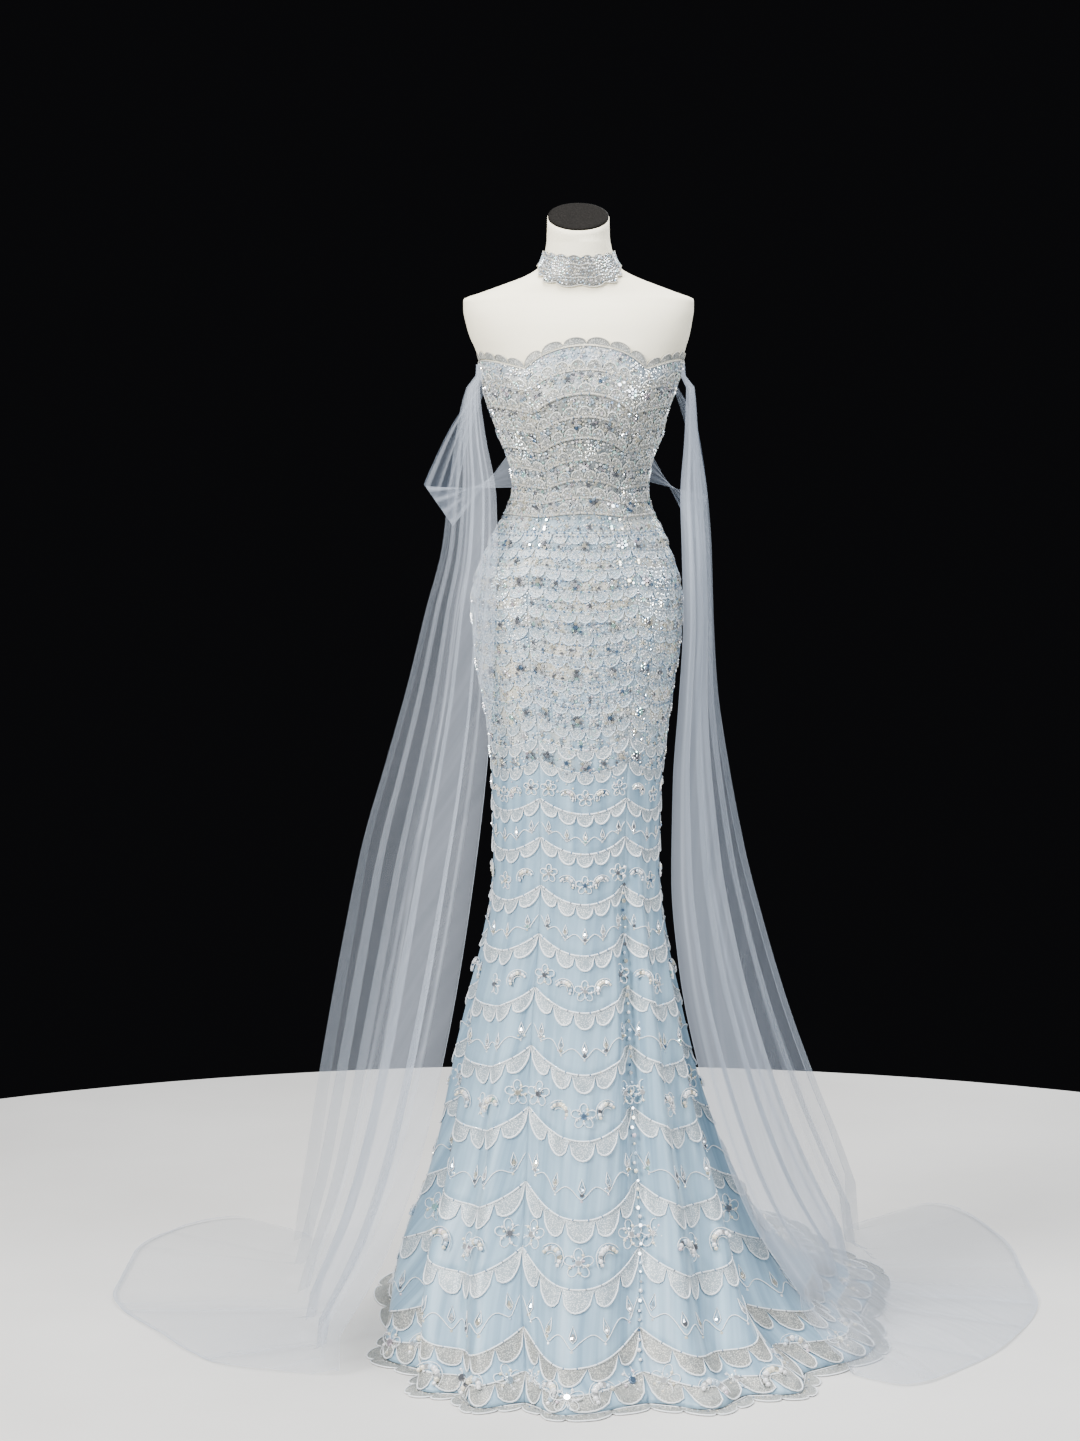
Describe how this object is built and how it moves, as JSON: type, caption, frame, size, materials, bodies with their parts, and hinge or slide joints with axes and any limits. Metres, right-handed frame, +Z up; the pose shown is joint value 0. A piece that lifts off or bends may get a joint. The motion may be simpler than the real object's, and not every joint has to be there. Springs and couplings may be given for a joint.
{
  "type": "mermaid gown on dress form",
  "caption": "Strapless mermaid gown with tiered lace, a swept train, two tulle drapes and a choker, worn by a limbless dress form on a round stand.",
  "frame": {"origin": "centre of the stand base's underside, on the floor", "axes": "+Z up, -Y to the gown's front, +X to the wearer's left"},
  "size_m": [1.4598, 1.2955, 1.7066],
  "materials": {
    "gown": "ice blue satin under beaded lace tiers",
    "lace": "silver-white beaded lace",
    "tulle": "sheer grey-blue tulle",
    "canvas": "ivory canvas over a moulded torso",
    "cap": "dark satin neck cap",
    "iron": "black paint"
  },
  "bodies": {
    "root": {"panel_front": "gown", "panel_side_front_l": "gown", "panel_side_front_r": "gown", "panel_side_back_l": "gown", "panel_side_back_r": "gown", "panel_back_l": "gown", "panel_back_r": "gown", "zip_back": "gown", "neckline_lace": "lace", "hem_lace": "lace", "choker": "lace", "drape_l": "tulle", "drape_r": "tulle", "loop_l": "tulle", "loop_r": "tulle", "dress_form": "canvas", "neck_cap": "cap", "stand_pole": "iron", "stand_base": "iron"}
  },
  "joints": []
}
